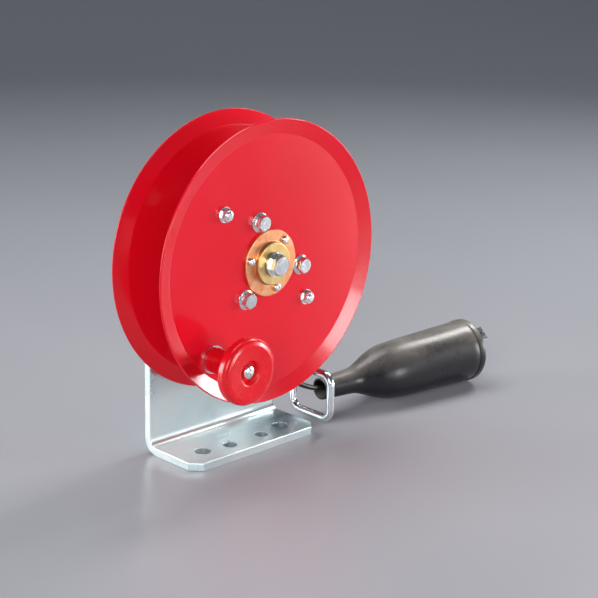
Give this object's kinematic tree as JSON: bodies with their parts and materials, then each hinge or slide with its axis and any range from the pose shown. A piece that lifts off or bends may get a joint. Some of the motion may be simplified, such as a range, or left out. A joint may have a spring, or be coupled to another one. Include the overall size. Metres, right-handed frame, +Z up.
{
  "type": "hand-cranked cable reel",
  "caption": "Red steel spool with a crank knob on a bent zinc-plated bracket, with a rod guide loop and a thin black cable that ends in a clip under a bottle-shaped rubber boot.",
  "frame": {"origin": "underside of the bracket's foot, straight below the axle and midway between the spool's rims", "axes": "+Z up, +Y along the axle towards the bracket's upright, +X towards the cable guide loop; the crank side faces -Y"},
  "size_m": [0.3402, 0.1115, 0.2423],
  "materials": {
    "red_enamel": "glossy baked enamel",
    "red_knob": "glossy moulded plastic",
    "zinc_plate": "bright zinc plate with a blue cast",
    "zinc_hardware": "bright zinc plate",
    "yellow_chromate": "yellow chromate on zinc",
    "hub_aluminium": "turned",
    "bush_bronze": "oiled sintered bronze",
    "friction_fibre": "pressed fibre",
    "spring_steel": "oiled spring steel",
    "black_cable": "smooth flexible vinyl",
    "tinned_copper": "tinned",
    "black_rubber": "matt rubber with a light bloom",
    "bright_steel": "nickel plated pressed steel"
  },
  "bodies": {
    "stand": {"angle_bracket": "zinc_plate", "cable_guide_loop": "zinc_plate", "axle_bolt": "zinc_hardware", "axle_front_washer": "zinc_hardware", "axle_sleeve": "zinc_hardware", "friction_washer": "friction_fibre", "disc_spring": "spring_steel", "spacer_collar": "zinc_hardware", "axle_rear_washer": "zinc_hardware", "axle_lock_nut": "zinc_hardware", "cable": "black_cable", "rubber_boot": "black_rubber", "clip_fixed_jaw": "bright_steel", "clip_pin": "bright_steel", "clip_spring": "spring_steel", "cable_ferrule": "tinned_copper"},
    "spool": {"front_flange": "red_enamel", "rear_flange": "red_enamel", "drum_core": "red_enamel", "front_hub_screws": "zinc_hardware", "rear_hub_screws": "zinc_hardware", "flange_bolts": "zinc_hardware", "flange_bolt_nuts": "zinc_hardware", "tail_screws": "zinc_hardware", "tail_screw_nuts": "zinc_hardware", "knob_collar": "zinc_hardware", "knob_sleeve": "zinc_hardware", "knob_screw": "zinc_hardware", "knob_nut": "zinc_hardware", "tail_clamp": "zinc_hardware", "front_hub_plate": "yellow_chromate", "rear_hub_plate": "yellow_chromate", "hub_tube": "hub_aluminium", "front_bush": "bush_bronze", "rear_bush": "bush_bronze", "cable_tail": "black_cable", "wound_cable": "black_cable", "ring_terminal": "tinned_copper"},
    "knob": {"crank_knob": "red_knob"},
    "clip_jaw": {"clip_moving_jaw": "bright_steel"}
  },
  "joints": [
    {"name": "spool_spin", "type": "hinge", "parent": "stand", "child": "spool", "pos_m": [0, 0, 0.1425], "axis": [0, 1, 0], "continuous": true},
    {"name": "knob_spin", "type": "hinge", "parent": "spool", "child": "knob", "pos_m": [-0.05104, -0.04, 0.08378], "axis": [0, 1, 0], "continuous": true},
    {"name": "clip_opening", "type": "hinge", "parent": "stand", "child": "clip_jaw", "pos_m": [0.19021, -0.00958, 0.02981], "axis": [0.0768, 0.7623, 0.6426], "range_deg": [0, 15], "stiffness_Nm_per_rad": 0.5, "springref_deg": -22.92, "deforming": ["clip_spring"]}
  ]
}
